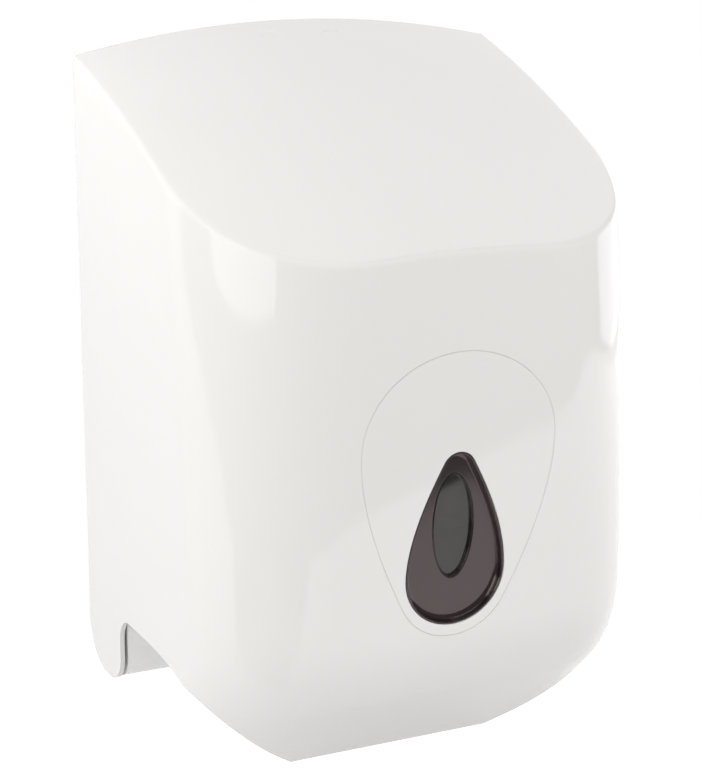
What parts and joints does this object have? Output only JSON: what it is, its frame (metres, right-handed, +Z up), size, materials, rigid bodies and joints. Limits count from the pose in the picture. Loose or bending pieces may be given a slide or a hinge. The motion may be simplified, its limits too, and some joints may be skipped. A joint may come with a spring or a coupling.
{
  "type": "centrefeed roll dispenser",
  "caption": "Wall-mounted centrefeed paper roll dispenser with a hinged glossy cover, a smoked drop-shaped window, a funnel outlet and a key-released latch.",
  "frame": {"origin": "on the back plate's flat rear face, midway across, 200 mm above the lowest edge of the cover's chin", "axes": "+Y into the wall, -Y out of the dispenser's front, +Z up, +X to the viewer's right"},
  "size_m": [0.2444, 0.207, 0.3701],
  "materials": {
    "white_plastic": "glossy moulded white",
    "grey_plastic": "satin moulded grey",
    "smoked_plastic": "polished, transparent and smoked",
    "plated_steel": "zinc-plated"
  },
  "bodies": {
    "wall_unit": {"back_plate": "white_plastic", "base_shelf": "white_plastic", "latch_housing": "white_plastic", "outlet_nozzle": "grey_plastic", "nozzle_collar": "grey_plastic", "tear_ring": "grey_plastic", "shelf_screw_1": "plated_steel", "shelf_screw_2": "plated_steel", "shelf_screw_3": "plated_steel", "shelf_screw_4": "plated_steel", "hinge_pin_left": "plated_steel", "hinge_pin_right": "plated_steel", "latch_screw_left": "plated_steel", "latch_screw_right": "plated_steel", "latch_spring_left": "plated_steel", "latch_spring_right": "plated_steel"},
    "cover": {"front_cover": "white_plastic", "window_panel": "white_plastic", "window_retainer": "white_plastic", "window_lens": "smoked_plastic", "window_screw_1": "plated_steel", "window_screw_2": "plated_steel", "window_screw_3": "plated_steel", "window_screw_4": "plated_steel"},
    "latch": {"latch_bar": "grey_plastic"}
  },
  "joints": [
    {"name": "cover_hinge", "type": "hinge", "parent": "wall_unit", "child": "cover", "pos_m": [0, -0.025, -0.1534], "axis": [1, 0, 0], "range_deg": [0, 75]},
    {"name": "latch_slide", "type": "slide", "parent": "wall_unit", "child": "latch", "axis": [0, 0, -1], "range_m": [0, 0.005], "stiffness_N_per_m": 500, "springref_m": -0.004, "deforming": ["latch_spring_left", "latch_spring_right"]}
  ]
}
